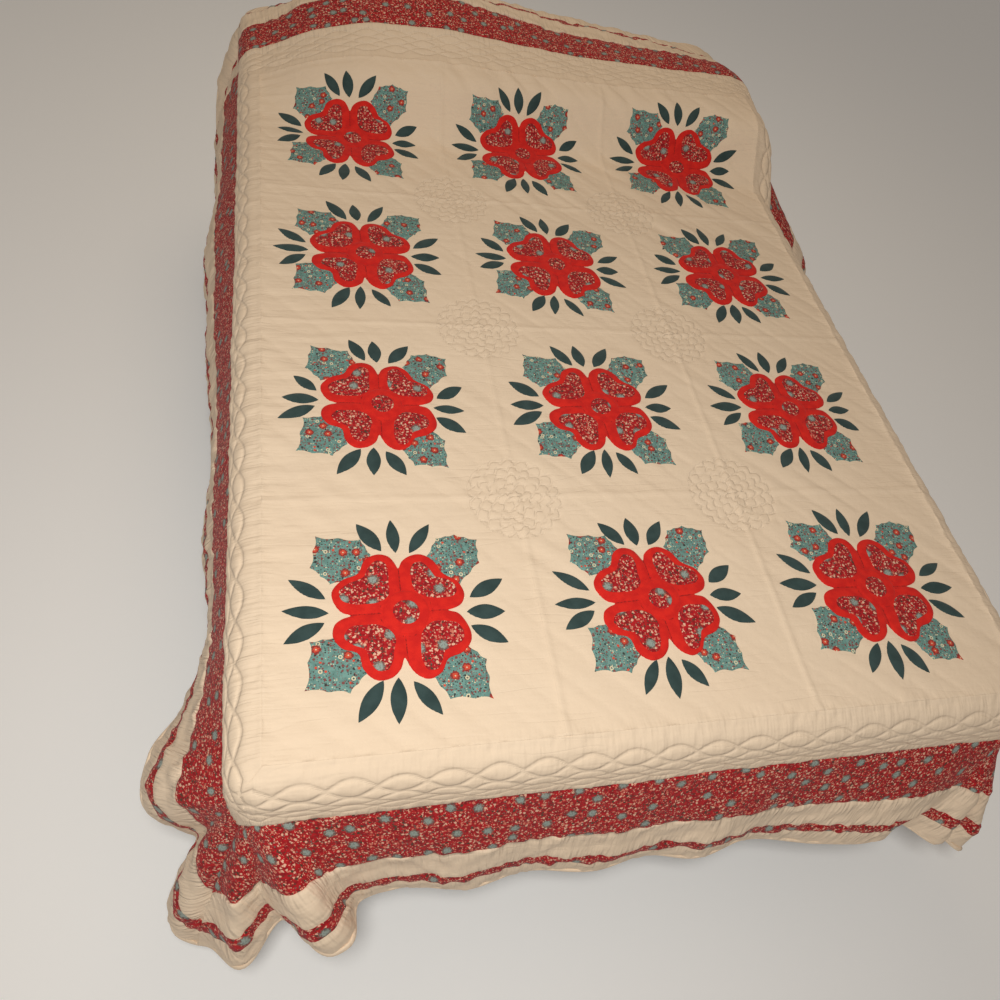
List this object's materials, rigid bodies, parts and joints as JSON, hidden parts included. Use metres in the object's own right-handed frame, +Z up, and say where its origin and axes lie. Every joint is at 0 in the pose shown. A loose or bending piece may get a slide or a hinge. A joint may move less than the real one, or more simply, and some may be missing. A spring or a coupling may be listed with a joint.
{
  "type": "applique quilt on a bed",
  "caption": "Cream applique quilt with red flowers, teal leaves and red calico borders, draped over a plain double bed and its pillows.",
  "frame": {"origin": "middle of the overall plan, at floor level under the legs", "axes": "+Y along the bed from the foot to the pillows, +X to the right seen from the foot, +Z up"},
  "size_m": [1.7178, 2.273, 0.8065],
  "materials": {
    "cream_cotton": "matte",
    "red_calico": "matte",
    "red_cotton": "matte",
    "teal_calico": "matte",
    "mattress_ticking": "matte",
    "foundation_cloth": "matte",
    "dark_wood": "satin",
    "pillow_cotton": "matte"
  },
  "bodies": {
    "root": {"field": "cream_cotton", "inner_border_foot": "cream_cotton", "inner_border_right": "cream_cotton", "inner_border_head": "cream_cotton", "inner_border_left": "cream_cotton", "wide_red_foot": "red_calico", "wide_red_right": "red_calico", "wide_red_head": "red_calico", "wide_red_left": "red_calico", "cream_strip_foot": "cream_cotton", "cream_strip_right": "cream_cotton", "cream_strip_head": "cream_cotton", "cream_strip_left": "cream_cotton", "narrow_red_foot": "red_calico", "narrow_red_right": "red_calico", "narrow_red_head": "red_calico", "narrow_red_left": "red_calico", "outer_cream_foot": "cream_cotton", "outer_cream_right": "cream_cotton", "outer_cream_head": "cream_cotton", "outer_cream_left": "cream_cotton", "binding": "cream_cotton", "flower_1_1": "red_cotton", "leaves_1_1": "teal_calico", "flower_1_2": "red_cotton", "leaves_1_2": "teal_calico", "flower_1_3": "red_cotton", "leaves_1_3": "teal_calico", "flower_2_1": "red_cotton", "leaves_2_1": "teal_calico", "flower_2_2": "red_cotton", "leaves_2_2": "teal_calico", "flower_2_3": "red_cotton", "leaves_2_3": "teal_calico", "flower_3_1": "red_cotton", "leaves_3_1": "teal_calico", "flower_3_2": "red_cotton", "leaves_3_2": "teal_calico", "flower_3_3": "red_cotton", "leaves_3_3": "teal_calico", "flower_4_1": "red_cotton", "leaves_4_1": "teal_calico", "flower_4_2": "red_cotton", "leaves_4_2": "teal_calico", "flower_4_3": "red_cotton", "leaves_4_3": "teal_calico", "mattress": "mattress_ticking", "foundation": "foundation_cloth", "foot_rail": "dark_wood", "head_rail": "dark_wood", "left_rail": "dark_wood", "right_rail": "dark_wood", "leg_foot_left": "dark_wood", "leg_foot_right": "dark_wood", "leg_head_left": "dark_wood", "leg_head_right": "dark_wood", "pillow_left": "pillow_cotton", "pillow_right": "pillow_cotton"}
  },
  "joints": []
}
